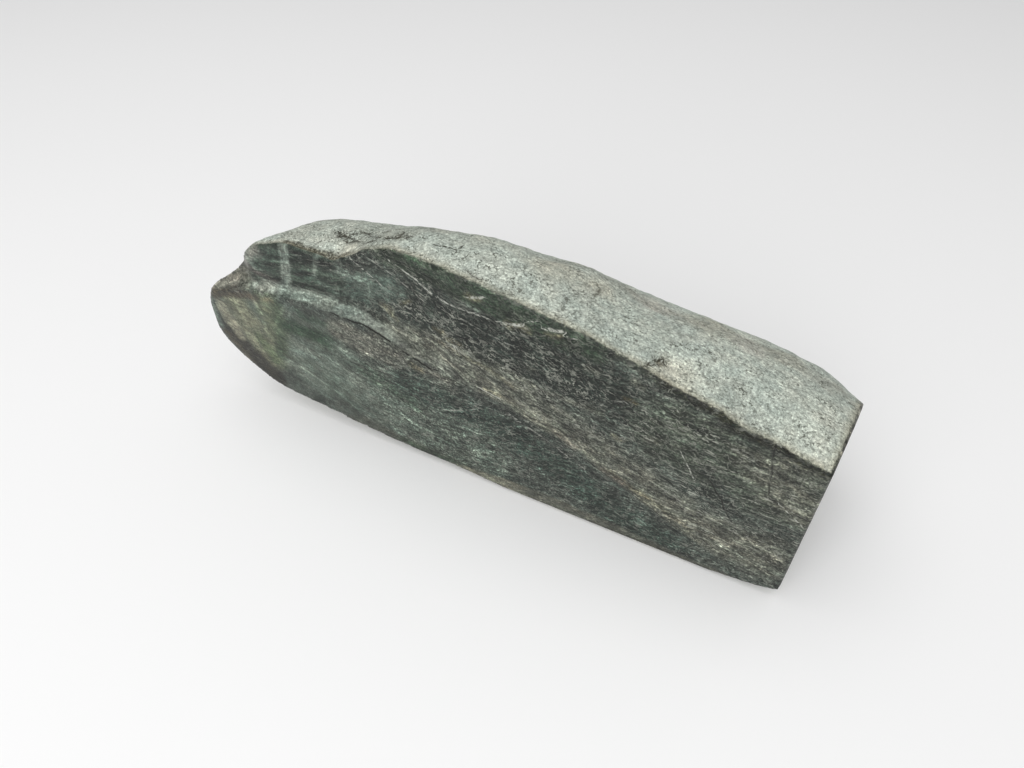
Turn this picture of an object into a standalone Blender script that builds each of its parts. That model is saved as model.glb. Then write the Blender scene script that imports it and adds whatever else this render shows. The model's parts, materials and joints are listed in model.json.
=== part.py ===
"""Raw jade boulder: one river-worn stone, sawn flat along its front and across one end.

The stone is made the way the real one was. A worn boulder is lofted along X from its nose to past its
cut end, and its skin is given swells, knobs, hollows and pits. Then the saw goes through it: along the
front, across the end, and a second time just behind the upper left of the front, where that cut stops
at a sloping ledge. Metres, +Z up, sawn front facing -Y, origin under the middle of the stone's box.
"""

import math

import bmesh
import bpy
from mathutils import Vector, noise

NAME = "jade_boulder"

# While the stone is made, the front cut is the plane y = 0, and the end cut meets it at x = 0.
NOSE_X = -0.2972
BLANK_END_X = 0.030
END_CUT_TURN = math.radians(6.4)

# Where the worn skin meets the front cut, as (x, z), from the nose to past the cut end.
TOP_EDGE = [
    (-0.2972, 0.048), (-0.2930, 0.065), (-0.2830, 0.075), (-0.2720, 0.084), (-0.2670, 0.092),
    (-0.2610, 0.099), (-0.2510, 0.104), (-0.2380, 0.109), (-0.2150, 0.113), (-0.2030, 0.115),
    (-0.1925, 0.119), (-0.1800, 0.1235), (-0.1620, 0.1255), (-0.1310, 0.121), (-0.1000, 0.1125),
    (-0.0680, 0.104), (-0.0300, 0.095), (0.0000, 0.0873), (0.0300, 0.078),
]
BOTTOM_EDGE = [
    (-0.2972, 0.048), (-0.2950, 0.037), (-0.2880, 0.028), (-0.2760, 0.019), (-0.2640, 0.013),
    (-0.2400, 0.0095), (-0.2000, 0.0066), (-0.1560, 0.0052), (-0.1200, 0.0014), (-0.0900, -0.0005),
    (-0.0500, 0.0000), (-0.0130, 0.0030), (0.0000, 0.0068), (0.0300, 0.020),
]
# The girth of the boulder, as (x, y of its middle, half its thickness, z of its middle, how round the
# skin is over the top). A roundness of 2 is an ellipse, and more is squarer.
GIRTH = [
    (-0.2972, 0.002, 0.001, 0.048, 2.0), (-0.2830, 0.003, 0.012, 0.050, 2.0),
    (-0.2700, 0.004, 0.021, 0.050, 2.1), (-0.2580, 0.004, 0.033, 0.050, 2.3),
    (-0.2470, 0.005, 0.045, 0.050, 2.7), (-0.2300, 0.007, 0.056, 0.050, 2.3),
    (-0.2000, 0.008, 0.065, 0.050, 1.85), (-0.1800, 0.008, 0.067, 0.050, 1.66),
    (-0.1600, 0.008, 0.069, 0.050, 1.68), (-0.1400, 0.008, 0.071, 0.049, 1.88),
    (-0.1000, 0.009, 0.076, 0.046, 2.0), (-0.0600, 0.010, 0.080, 0.042, 2.0),
    (-0.0300, 0.010, 0.081, 0.037, 2.0), (-0.0100, 0.010, 0.079, 0.032, 2.0),
    (0.0050, 0.010, 0.070, 0.029, 2.0), (0.0300, 0.010, 0.055, 0.025, 2.0),
]
LOWER_ROUNDNESS = 3.2

STATIONS = 96
STATION_CROWDING = 1.4
RING_POINTS = 57
# The rings leave out this much of the boulder's front either way, which the saw takes in any case.
FRONT_GAP = math.radians(60)

# Worn relief, from broad swells to knobs, as (size of the waves, their height).
RELIEF = [(0.060, 0.0016), (0.024, 0.0010), (0.011, 0.0006)]
RELIEF_PLACE = Vector((7.3, 1.9, 4.1))
# The relief fades towards the nose, and towards the front, whose outline the two edges give.
NOSE_FADE = 0.020
FRONT_FADE = 0.020
FRONT_SHARE = 0.25
# Single features of the skin, as (x, y, z, radius, height): a hollow or pit has a negative height.
FEATURES = {
    "dip in the front rim": (-0.2230, 0.004, 0.111, 0.012, -0.0040),
    "left pit": (-0.2220, 0.024, 0.112, 0.005, -0.0018),
    "right pit": (-0.2040, 0.023, 0.116, 0.006, -0.0020),
    "first ridge": (-0.1550, 0.036, 0.115, 0.014, 0.0008),
    "first hollow": (-0.1300, 0.042, 0.108, 0.012, -0.0016),
    "second ridge": (-0.1150, 0.045, 0.105, 0.012, 0.0018),
    "second hollow": (-0.0860, 0.052, 0.098, 0.016, -0.0030),
    "stained pit": (-0.0640, 0.009, 0.104, 0.005, -0.0022),
    "belly under the nose side": (-0.1680, 0.042, 0.000, 0.036, 0.0066),
    "belly under the middle": (-0.1250, 0.036, 0.000, 0.034, 0.0027),
    "belly under the end": (-0.0750, 0.035, 0.000, 0.034, 0.0020),
}

# The second cut, as (x, z of the ledge's rim on the front, how far the cut lies behind the front, how
# high the ledge rises on its way back to the cut). It runs out into the front at its right end.
SECOND_CUT = [
    (-0.3100, 0.0580, 0.0070, 0.0060), (-0.2930, 0.0660, 0.0070, 0.0060),
    (-0.2710, 0.0750, 0.0066, 0.0055), (-0.2650, 0.0760, 0.0036, 0.0018),
    (-0.2460, 0.0782, 0.0032, 0.0014), (-0.2320, 0.0800, 0.0034, 0.0026),
    (-0.2130, 0.0798, 0.0036, 0.0048), (-0.1990, 0.0790, 0.0035, 0.0038),
    (-0.1890, 0.0745, 0.0033, 0.0033), (-0.1745, 0.0686, 0.0025, 0.0024),
    (-0.1600, 0.0645, 0.0012, 0.0012), (-0.1450, 0.0600, -0.0020, -0.0020),
]
CUTTER_FRONT = -0.030
CUTTER_TOP = 0.170

# The worn bevel under the front starts at this height and leans back by this angle.
BEVEL_HEIGHT = 0.0075
BEVEL_LEAN = math.radians(14)

SHARP_ANGLE = math.radians(30)


def smooth(points, x, column=1):
    """The value in this column at x, on a smooth curve through the points that is steep at the nose."""
    def from_nose(value):
        return math.sqrt(max(value - NOSE_X, 0.0))

    knots = [from_nose(p[0]) for p in points]
    values = [p[column] for p in points]
    q = min(max(from_nose(x), knots[0]), knots[-1])
    i = max(k for k in range(len(knots) - 1) if knots[k] <= q)

    def slope(k):
        low, high = max(k - 1, 0), min(k + 1, len(knots) - 1)
        return (values[high] - values[low]) / (knots[high] - knots[low])

    span = knots[i + 1] - knots[i]
    t = (q - knots[i]) / span
    return (
        values[i] * (2 * t**3 - 3 * t**2 + 1)
        + values[i + 1] * (3 * t**2 - 2 * t**3)
        + slope(i) * span * (t**3 - 2 * t**2 + t)
        + slope(i + 1) * span * (t**3 - t**2)
    )


def superellipse(angle, roundness):
    """(cosine, sine) of a superellipse at this angle."""
    c, s = math.cos(angle), math.sin(angle)
    scale = (abs(c) ** roundness + abs(s) ** roundness) ** (-1 / roundness)
    return c * scale, s * scale


def section(x, angle):
    """A point of the unsawn boulder at x. The angle starts at the front and goes over the top to the back."""
    middle_y = smooth(GIRTH, x, 1)
    half = smooth(GIRTH, x, 2)
    middle_z = smooth(GIRTH, x, 3)
    upper = math.sin(angle) > 0
    roundness = smooth(GIRTH, x, 4) if upper else LOWER_ROUNDNESS
    edge_z = smooth(TOP_EDGE if upper else BOTTOM_EDGE, x)
    share_at_front = (1 - min(middle_y / half, 0.9) ** roundness) ** (1 / roundness)
    height = abs(edge_z - middle_z) / share_at_front
    c, s = superellipse(angle, roundness)
    return Vector((x, middle_y - half * c, middle_z + height * s))


def relief(point):
    """How far the worn skin stands out at this point."""
    height = sum(
        size * noise.noise(point / wave + RELIEF_PLACE * (k + 1)) for k, (wave, size) in enumerate(RELIEF)
    )
    height *= min(1.0, (point.x - NOSE_X) / NOSE_FADE)
    height *= min(1.0, FRONT_SHARE + abs(point.y) / FRONT_FADE)
    for x, y, z, radius, rise in FEATURES.values():
        distance = (point - Vector((x, y, z))).length / radius
        height += rise * math.exp(-(distance**2))
    return height


def skin(bm, left, right):
    """Joins two closed rings of vertices with quads."""
    for k in range(len(left)):
        bm.faces.new((left[k - 1], left[k], right[k], right[k - 1]))


def worn_boulder():
    """The boulder before the saw: rings of points from the nose to past the end cut, skinned and capped."""
    bm = bmesh.new()
    sweep = 2 * math.pi - 2 * FRONT_GAP
    angles = [FRONT_GAP + sweep * k / (RING_POINTS - 1) for k in range(RING_POINTS)]
    rings = []
    for i in range(1, STATIONS + 1):
        x = NOSE_X + (BLANK_END_X - NOSE_X) * (i / STATIONS) ** STATION_CROWDING
        rings.append([bm.verts.new(section(x, angle)) for angle in angles])
    nose = bm.verts.new((NOSE_X, smooth(GIRTH, NOSE_X, 1), smooth(GIRTH, NOSE_X, 3)))
    for k in range(RING_POINTS):
        bm.faces.new((nose, rings[0][k], rings[0][k - 1]))
    for left, right in zip(rings, rings[1:]):
        skin(bm, left, right)
    bm.faces.new(rings[-1])
    bmesh.ops.recalc_face_normals(bm, faces=bm.faces)
    bm.normal_update()
    moves = [(v, v.normal * relief(v.co)) for v in bm.verts]
    for v, move in moves:
        v.co += move
    return bm


def saw(bm, point, normal):
    """Cuts off what lies on the normal's side of the plane, and closes the stone with flat faces there."""
    everything = bm.verts[:] + bm.edges[:] + bm.faces[:]
    cut = bmesh.ops.bisect_plane(
        bm, geom=everything, plane_co=point, plane_no=normal, clear_outer=True, dist=1e-7
    )
    rim = [e for e in cut["geom_cut"] if isinstance(e, bmesh.types.BMEdge)]
    filled = bmesh.ops.holes_fill(bm, edges=rim)
    for face in filled["faces"]:
        face.smooth = False


def sawn_stone():
    bm = worn_boulder()
    for face in bm.faces:
        face.smooth = True
    origin = Vector((0, 0, 0))
    saw(bm, origin, Vector((0, 0, -1)))
    saw(bm, origin, Vector((0, -1, 0)))
    saw(bm, Vector((0, 0, BEVEL_HEIGHT)), Vector((0, -math.cos(BEVEL_LEAN), -math.sin(BEVEL_LEAN))))
    saw(bm, origin, Vector((math.cos(END_CUT_TURN), -math.sin(END_CUT_TURN), 0)))
    return bm


def second_cutter():
    """What the second cut takes: everything in front of it and above its sloping ledge."""
    bm = bmesh.new()
    rows = []
    for x, z, back, rise in SECOND_CUT:
        front_z = z + CUTTER_FRONT * rise / back
        outline = [(CUTTER_FRONT, front_z), (back, z + rise), (back, CUTTER_TOP), (CUTTER_FRONT, CUTTER_TOP)]
        rows.append([bm.verts.new((x, *point)) for point in outline])
    for left, right in zip(rows, rows[1:]):
        skin(bm, left, right)
    bm.faces.new(rows[0])
    bm.faces.new(rows[-1])
    bmesh.ops.recalc_face_normals(bm, faces=bm.faces)
    return bm


def mesh_object(name, bm, collection):
    mesh = bpy.data.meshes.new(name)
    bm.to_mesh(mesh)
    bm.free()
    obj = bpy.data.objects.new(name, mesh)
    collection.objects.link(obj)
    return obj


def jade():
    material = bpy.data.materials.new("jade")
    material.use_nodes = True
    shader = material.node_tree.nodes["Principled BSDF"]
    shader.inputs["Base Color"].default_value = (0.135, 0.165, 0.140, 1)
    shader.inputs["Roughness"].default_value = 0.45
    shader.inputs["Metallic"].default_value = 0.0
    return material


def new_collection(name):
    collection = bpy.data.collections.new(name)
    bpy.context.scene.collection.children.link(collection)
    return collection


def stand_on_origin(stone, cutter):
    """Moves the stone and its cutter so that the origin is under the middle of the cut stone's box."""
    bpy.context.view_layer.update()
    box = stone.evaluated_get(bpy.context.evaluated_depsgraph_get()).bound_box
    low = Vector([min(corner[i] for corner in box) for i in range(3)])
    high = Vector([max(corner[i] for corner in box) for i in range(3)])
    middle = (low + high) / 2
    for obj in (stone, cutter):
        obj.location = (-middle.x, -middle.y, -low.z)


def main():
    for obj in list(bpy.data.objects):
        bpy.data.objects.remove(obj, do_unlink=True)
    parts, cutters = new_collection(NAME), new_collection("cutters")

    stone = mesh_object(NAME, sawn_stone(), parts)
    stone.data.set_sharp_from_angle(angle=SHARP_ANGLE)
    stone.data.materials.append(jade())

    cutter = mesh_object("second_cutter", second_cutter(), cutters)
    cutter.hide_render = True
    cutter.display_type = "WIRE"
    cut = stone.modifiers.new("second saw cut", "BOOLEAN")
    cut.operation = "DIFFERENCE"
    cut.object = cutter
    stand_on_origin(stone, cutter)


main()
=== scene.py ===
"""The looks of the raw jade boulder: its worn rind and its sawn, fibrous green-grey faces.

The stone's finer mesh starts as the frame's own solid, and every feature on it is placed in face
millimetres: u along the sawn front from its lower right corner (negative to the left), v behind the
front, and w above the floor.
"""
import json
import math

import bmesh
import bpy
import numpy as np
from mathutils import Matrix, Vector, kdtree, noise


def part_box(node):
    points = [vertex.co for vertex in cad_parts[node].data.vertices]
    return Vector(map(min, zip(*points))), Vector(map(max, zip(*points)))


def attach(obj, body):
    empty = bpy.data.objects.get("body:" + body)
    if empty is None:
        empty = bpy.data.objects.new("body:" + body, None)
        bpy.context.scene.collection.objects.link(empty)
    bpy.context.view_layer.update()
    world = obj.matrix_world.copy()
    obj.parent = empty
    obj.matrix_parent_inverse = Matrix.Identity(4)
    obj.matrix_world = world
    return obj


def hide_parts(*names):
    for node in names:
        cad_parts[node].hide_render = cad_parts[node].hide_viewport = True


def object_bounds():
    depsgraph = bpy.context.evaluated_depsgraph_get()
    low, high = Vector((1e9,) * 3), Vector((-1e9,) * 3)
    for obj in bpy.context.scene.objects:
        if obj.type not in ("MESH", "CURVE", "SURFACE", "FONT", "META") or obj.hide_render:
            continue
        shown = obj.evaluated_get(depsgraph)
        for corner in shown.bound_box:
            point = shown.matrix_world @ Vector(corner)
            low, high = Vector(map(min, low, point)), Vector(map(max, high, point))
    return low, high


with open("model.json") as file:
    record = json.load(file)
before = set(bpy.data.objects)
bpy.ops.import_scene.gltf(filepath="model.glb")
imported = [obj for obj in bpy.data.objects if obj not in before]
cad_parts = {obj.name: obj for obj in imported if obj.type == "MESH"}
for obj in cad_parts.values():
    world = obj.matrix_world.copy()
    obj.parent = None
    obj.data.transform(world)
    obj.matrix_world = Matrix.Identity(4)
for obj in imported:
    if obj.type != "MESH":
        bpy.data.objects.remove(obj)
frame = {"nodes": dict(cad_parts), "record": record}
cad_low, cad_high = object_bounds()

NODE = "jade_boulder"
PIECE = "boulder"
MM = 0.001

# ---------------------------------------------------------------- the frame's cuts

MOUNTS = {m["name"]: m for m in frame["record"]["mounts"]}
FRONT_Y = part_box(NODE)[0][1]
END_POINT = Vector(MOUNTS["sawn_end"]["pos_m"])
END_NORMAL = Vector(MOUNTS["sawn_end"]["axis"]).normalized()
CORNER_X = END_POINT.x - END_NORMAL.y / END_NORMAL.x * (FRONT_Y - END_POINT.y)

# The second cut: (u, w of the ledge's rim, how far back the cut is, how high the ledge rises), in mm.
SECOND_CUT = [
    (-310, 58.0, 7.0, 6.0), (-293, 66.0, 7.0, 6.0), (-271, 75.0, 6.6, 5.5), (-265, 76.0, 3.6, 1.8),
    (-246, 78.2, 3.2, 1.4), (-232, 80.0, 3.4, 2.6), (-213, 79.8, 3.6, 4.8), (-199, 79.0, 3.5, 3.8),
    (-189, 74.5, 3.3, 3.3), (-174.5, 68.6, 2.5, 2.4), (-160, 64.5, 1.2, 1.2), (-151, 62.0, 0.0, 0.4),
]

# ---------------------------------------------------------------- palette, as seen in even light (sRGB)

PALETTE = {
    "green grey": (78, 85, 79),
    "clear grey green": (96, 106, 97),
    "pale clear": (114, 123, 114),
    "dark clear": (60, 78, 63),
    "taupe": (111, 113, 104),
    "teal": (57, 70, 63),
    "charcoal": (41, 48, 43),
    "blue green": (86, 99, 91),
    "panel grey": (68, 80, 71),
    "pale band": (104, 106, 96),
    "straw": (136, 133, 111),
    "coal": (50, 56, 52),
    "ochre": (98, 88, 60),
    "right grey": (75, 82, 72),
    "olive rim": (59, 72, 59),
    "deep olive": (49, 59, 48),
    # Dark olive of the weathered jade, also used as painted shade along the front's foot.
    "weathered_and_shade": (43, 45, 32),
    "olive glass": (119, 122, 104),
    "pale olive": (136, 137, 121),
    "olive grey": (104, 111, 92),
    "olive low": (96, 108, 84),
    "smoke": (46, 45, 36),
    "smoke brown": (82, 78, 66),
    "plum": (92, 88, 84),
    "facet pale": (146, 145, 134),
    "rose": (126, 117, 108),
    "pale teal": (122, 134, 125),
    "rim pale": (146, 150, 141),
    # Pale colour of the panel's streaks, and of the ledge, where it also paints sheen.
    "ledge": (136, 146, 137),
    "bottom brown": (95, 97, 88),
    "rind": (169, 176, 167),
    "rind green": (163, 171, 162),
    "rind beige": (182, 179, 163),
    "rind grey": (152, 154, 144),
    "rind brown": (135, 131, 113),
    "rind rose": (168, 160, 150),
    "rind dark": (112, 110, 96),
    "moss": (60, 57, 41),
    "iron": (98, 82, 52),
    "under rind": (126, 124, 112),
}
FACE_GAIN = 0.69
FACE_CONTRAST = 1.22
RIND_GAIN = 1.11

# Patches of the sawn front, as (colour, share, line through its middle in (u, w), half width, softness).
FACE_PATCHES = [
    ("clear grey green", 0.9, [(-262, 52), (-225, 44), (-190, 36), (-150, 22)], 23, 16),
    ("pale clear", 0.6, [(-240, 50), (-222, 42), (-205, 34)], 6, 10),
    ("pale clear", 0.5, [(-214, 30), (-198, 22), (-184, 14)], 3, 7),
    ("dark clear", 0.9, [(-244, 61), (-225, 60)], 4, 6),
    ("dark clear", 0.6, [(-236, 72), (-215, 70)], 2, 5),
    ("dark clear", 0.5, [(-205, 50), (-190, 44), (-176, 38)], 4, 6),
    ("taupe", 0.9, [(-214, 69), (-196, 68), (-176, 62), (-160, 58)], 7, 6),
    ("teal", 0.9, [(-178, 53), (-133, 45), (-104, 33), (-70, 15), (-50, 6)], 9, 9),
    ("charcoal", 0.9, [(-168, 98), (-146, 94), (-115, 93), (-85, 88)], 14, 14),
    ("charcoal", 0.7, [(-232, 101), (-214, 103)], 4, 6),
    ("charcoal", 0.6, [(-70, 76), (-50, 64), (-34, 50)], 5, 8),
    ("blue green", 0.9, [(-206, 96), (-186, 103)], 8, 7),
    ("panel grey", 0.95, [(-262, 92), (-246, 96), (-222, 97)], 13, 6),
    ("rim pale", 0.9, [(-268, 87), (-263.5, 94), (-258, 101)], 2.8, 3),
    ("plum", 0.8, [(-266, 88), (-258, 85), (-248, 83)], 2.2, 3),
    ("pale band", 0.8, [(-184, 74), (-166, 76), (-133, 71), (-104, 60), (-76, 47), (-44, 33), (-12, 22)], 10, 10),
    ("straw", 0.12, [(-130, 64), (-104, 54), (-92, 47), (-76, 40)], 1.6, 3),
    ("straw", 0.2, [(-68, 36), (-55, 30), (-42, 25)], 2.2, 4),
    ("right grey", 0.9, [(-56, 78), (-12, 68)], 18, 14),
    ("pale band", 0.5, [(-30, 80), (-6, 82)], 6, 8),
    ("pale band", 0.9, [(-55, 22), (-12, 30)], 10, 12),
    ("pale band", 0.8, [(-18, 74), (-4, 62)], 9, 10),
    ("charcoal", 0.9, [(-153, 117), (-150, 116)], 1.2, 3),
    # The tip's olive jade: its own olive colour, and in the paler olive patches also a painted glow of light shining
    # through the thin tip.
    ("olive grey", 0.9, [(-256, 70), (-256, 52), (-262, 34)], 8, 9),
    ("olive glass", 0.95, [(-277, 64), (-271, 46), (-268, 32)], 8, 7),
    ("pale olive", 0.8, [(-288, 58), (-284, 48)], 4, 5),
    ("smoke", 0.9, [(-287, 41), (-278, 32), (-266, 21)], 5.5, 6),
    ("smoke brown", 0.8, [(-292, 64), (-278, 69), (-262, 71.5)], 2, 3),
    ("bottom brown", 0.6, [(-215, 9), (-180, 7), (-160, 5)], 4, 5),
]
# Smaller strokes of colour on the front, in the same form.
FACE_STROKES = [
    ("pale clear", 0.8, [(-231, 61), (-221, 60), (-212, 57), (-202, 56)], 0.7, 1.6),
    ("pale clear", 0.7, [(-238, 47), (-226, 48), (-217, 46)], 1.0, 2.4),
    ("pale clear", 0.6, [(-252, 34), (-244, 29), (-235, 26)], 4, 6),
    ("dark clear", 0.8, [(-248, 59), (-237, 60), (-228, 62)], 3, 4),
    ("dark clear", 0.6, [(-250, 72), (-253, 52), (-257, 37)], 3, 6),
    ("taupe", 0.9, [(-208, 71), (-192, 71), (-182, 68)], 3.0, 3),
    ("coal", 0.5, [(-210, 65), (-193, 63), (-179, 61), (-170, 60)], 0.5, 1.6),
    ("smoke", 1.0, [(-285, 37), (-280, 31), (-273, 25), (-264, 17)], 5.5, 4.0),
    ("smoke brown", 0.9, [(-292, 65.6), (-281, 68.6), (-272, 71)], 2.4, 1.8),
    ("pale teal", 0.6, [(-294.5, 56), (-294.5, 48), (-292.5, 40.6)], 1.0, 1.4),
    ("olive low", 0.9, [(-268, 44), (-264, 38), (-262, 32)], 3.4, 4.0),
    ("straw", 0.6, [(-258, 72.7), (-252, 74)], 1.2, 1.6),
    ("pale teal", 0.6, [(-249, 42), (-240, 46), (-232, 43)], 2.0, 4.0),
    ("dark clear", 0.9, [(-243, 62), (-235, 61), (-228, 59)], 2.6, 3.0),
    ("coal", 0.8, [(-236, 105), (-224, 103), (-213, 102)], 2.4, 4.0),
    ("coal", 0.7, [(-236, 95), (-226, 95), (-214, 94)], 0.8, 2.0),
    ("coal", 0.6, [(-262, 99), (-250, 100), (-244, 100)], 0.6, 1.6),
    ("coal", 0.6, [(-258, 88), (-250, 88), (-245, 87)], 0.7, 1.6),
    ("pale teal", 0.6, [(-268, 98), (-264, 93), (-262, 88)], 1.4, 2.6),
    ("pale teal", 0.5, [(-211, 104), (-204, 100), (-197, 97)], 2.4, 3.6),
    ("pale teal", 0.5, [(-223, 92), (-214, 89)], 0.8, 2.0),
    ("rim pale", 0.6, [(-273, 83), (-266, 80), (-259, 77)], 0.8, 2.0),
    ("straw", 0.7, [(-177, 64.6), (-172, 63.6)], 1.4, 2.4),
    ("coal", 0.7, [(-99, 51), (-92, 46), (-86, 43)], 1.0, 2.4),
    ("smoke brown", 0.8, [(-76, 41), (-71, 37.6), (-62, 35)], 0.9, 2.0),
    ("rose", 0.4, [(-83, 43), (-74, 38.5)], 1.4, 2.2),
    ("rose", 0.3, [(-106, 55), (-96, 50)], 1.2, 2.4),
    # Pale olive of the tip, also a painted glow of light through the thin jade.
    ("pale olive", 0.8, [(-288, 49), (-284, 48), (-282, 41)], 3, 3),
    ("smoke brown", 0.8, [(-292, 40), (-284, 29), (-277, 19)], 2, 3),
    ("smoke brown", 0.9, [(-290, 66), (-278, 70), (-266, 72.5)], 2.0, 1.6),
    ("straw", 0.45, [(-140, 66), (-132, 65.6)], 1.2, 2.0),
    ("straw", 0.3, [(-80, 43), (-61, 35)], 0.9, 2.4),
    ("straw", 0.35, [(-161, 83), (-148, 81), (-137, 79), (-127, 74)], 1.0, 2.4),
    ("pale band", 0.6, [(-127, 81), (-114, 78), (-100, 77), (-87, 76)], 1.4, 3),
    ("pale clear", 0.4, [(-153, 37), (-141, 42), (-133, 39), (-127, 38)], 0.8, 2),
    ("pale clear", 0.5, [(-33, 23), (-15, 21), (-1, 18)], 0.8, 2),
    ("pale band", 0.7, [(-95, 98), (-91, 98)], 1.4, 2.4),
    ("pale band", 0.7, [(-76, 99), (-72, 98)], 1.6, 2.6),
    ("pale band", 0.6, [(-121, 88), (-117, 88)], 1.0, 2.0),
    ("pale band", 0.6, [(-67, 71), (-63, 71)], 1.4, 2.4),
    ("coal", 0.7, [(-151, 77), (-140, 75), (-130, 71)], 0.7, 2),
    ("coal", 0.8, [(-99, 91), (-88, 82), (-79, 79)], 2.2, 4),
    ("coal", 0.8, [(-134, 96), (-127, 93)], 2.2, 4),
    ("coal", 0.7, [(-121, 85), (-112, 84)], 1.6, 3),
    ("coal", 0.8, [(-84, 103), (-79, 100)], 2.4, 4),
    ("coal", 0.7, [(-150, 97), (-143, 94), (-140, 90)], 1.6, 4),
    ("coal", 0.8, [(-42, 64), (-34, 58), (-31, 50)], 2.2, 4),
    ("coal", 0.6, [(-42, 92), (-30, 91)], 1.2, 2.4),
    ("coal", 0.6, [(-28, 82), (-26, 78)], 1.2, 2.4),
    ("coal", 0.5, [(-66, 8), (-47, 4), (-37, 6)], 2.5, 4),
    ("ochre", 0.2, [(-66, 38.5), (-58, 33), (-48, 28), (-42, 25)], 1.1, 2.6),
    ("ochre", 0.6, [(-149, 115), (-146, 115)], 0.8, 1.6),
    ("charcoal", 0.4, [(-124, 69), (-106, 63)], 2.5, 5),
    ("ochre", 0.5, [(-78, 89), (-74, 88)], 1.2, 2.4),
]
# The glassy strip of weathered jade under the rim, and the top of the smooth worn strip along the foot.
GLASSY_STRIP = [(-186, 118), (-172, 117.5), (-155, 116), (-138, 113.5), (-120, 109.5), (-104, 108), (-90, 106)]
FOOT_STRIP = [(-200, 0), (-166, 4), (-151, 7), (-137, 8.5), (-110, 10), (-96, 9.5), (-83, 8.5), (-64, 7), (-45, 5),
              (-20, 3.5), (10, 3)]
# The pale streak of the ledge and of the wedge that runs on from it into the band: partly paler stone and partly
# painted sheen where the ledge faces up to the light.
LEDGE_SHEEN = [(-262, 77), (-245, 80), (-232, 82), (-213, 82.5), (-199, 80.5), (-189, 77), (-175, 72), (-158, 68)]
# The pale foot of the tip's small facet.
FACET_PALE = [(-296, 67), (-288.2, 70.2), (-281.3, 73.5), (-275.6, 75.1)]
# The crisp lower side of the pale band. The fibres run another way below it and the ledge.
BAND_FOOT = [(-310, 60), (-265, 76), (-232, 80), (-199, 79), (-174, 68), (-160, 64.5), (-133, 61), (-104, 51),
             (-75, 37), (-46, 22), (-20, 10), (10, 0)]
# How the fibres lean along the front, as (u, degrees), above and below that line.
LEAN_ABOVE = [(-300, 12), (-236, 13), (-213, 7), (-195, -5), (-160, -14), (-105, -13), (-75, -9), (-47, -5), (0, -4)]
LEAN_BELOW = [(-300, -14), (-217, -14), (-180, -6), (-133, 7), (-90, 8), (-60, 1), (0, 2)]

# Where the fibres are short, pale and thick on the front, and where they are long and straw-coloured.
SPECKLED = [
    ([(-196, 108), (-150, 98), (-110, 92), (-80, 78)], 17, 12, 0.45), ([(-60, 70), (-10, 50)], 26, 20, 0.55),
    ([(-166, 91), (-150, 86)], 5, 5, 1.0), ([(-180, 98), (-170, 94)], 5, 5, 0.9), ([(-122, 95), (-118, 94)], 2, 3, 1.0),
    ([(-95, 99), (-87, 98)], 3, 4, 1.0), ([(-100, 85), (-94, 81)], 4, 4, 1.0), ([(-160, 101), (-146, 98)], 2, 4, 0.9),
    ([(-136, 86), (-121, 78), (-109, 70), (-92, 62)], 5, 5, 1.0), ([(-72, 74), (-60, 70)], 4, 4, 1.0),
]
STRAWED = [
    ([(-184, 76), (-133, 70), (-104, 60), (-76, 47), (-44, 33), (-12, 24)], 9, 8, 0.8),
    ([(-50, 62), (-8, 55)], 24, 20, 0.8), ([(-270, 92), (-225, 97)], 12, 10, 1.0),
]
# Rough beige knots.
KNOTS = [((-190, 93), (-183, 86)), ((-163, 91), (-151, 86)), ((-176, 99), (-181, 97)), ((-128, 107), (-119, 107)),
         ((-112, 109), (-106, 110)), ((-145, 114), (-141, 114)), ((-81, 66), (-76, 65))]

# Thin pale veins and dark cracks of the front, as (line in (u, w), half width, strength).
VEINS = [
    ([(-183, 117), (-171, 112.6), (-164, 108.6), (-156, 106.9), (-148, 106.8), (-138, 106.6)], 0.5, 0.9),
    ([(-204, 111.5), (-198.7, 108.3), (-190, 103)], 0.4, 0.7),
    ([(-196, 115.5), (-182, 110), (-168, 103)], 0.35, 0.5),
    ([(-150, 102), (-138, 98.5), (-124, 96)], 0.3, 0.4),
    ([(-161, 42.7), (-156, 45), (-150, 47.9), (-144.4, 51.3)], 0.4, 0.7),
    ([(-150, 54.5), (-132.4, 55.1), (-119, 52)], 0.3, 0.5),
    ([(-131.8, 106.5), (-128.9, 106.8)], 0.8, 1.0),
    ([(-126.0, 107.5), (-122.4, 108.8)], 0.8, 1.0),
    ([(-119.0, 111.8), (-116.9, 112.6)], 0.5, 0.8),
    ([(-112.0, 110.8), (-105.9, 111.9)], 0.9, 1.0),
    ([(-103.1, 110.1), (-101.7, 110.2)], 0.6, 0.9),
    ([(-144.7, 114.2), (-139.5, 116.1)], 0.8, 0.8),
    ([(-53.7, 71.5), (-48.1, 62.2), (-43.7, 53.8)], 0.3, 0.9),
    ([(-12.5, 61), (-7.9, 57.6), (-2.4, 53.6)], 0.3, 0.9),
    ([(-88, 80), (-84, 85), (-78, 87), (-73, 83)], 0.35, 0.4),
    ([(-60, 46), (-40, 38), (-18, 33)], 0.4, 0.4),
    ([(-130, 57), (-112, 49), (-92, 39)], 0.4, 0.5),
    ([(-142, 65.7), (-132, 63.4)], 0.5, 0.7),
]
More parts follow.
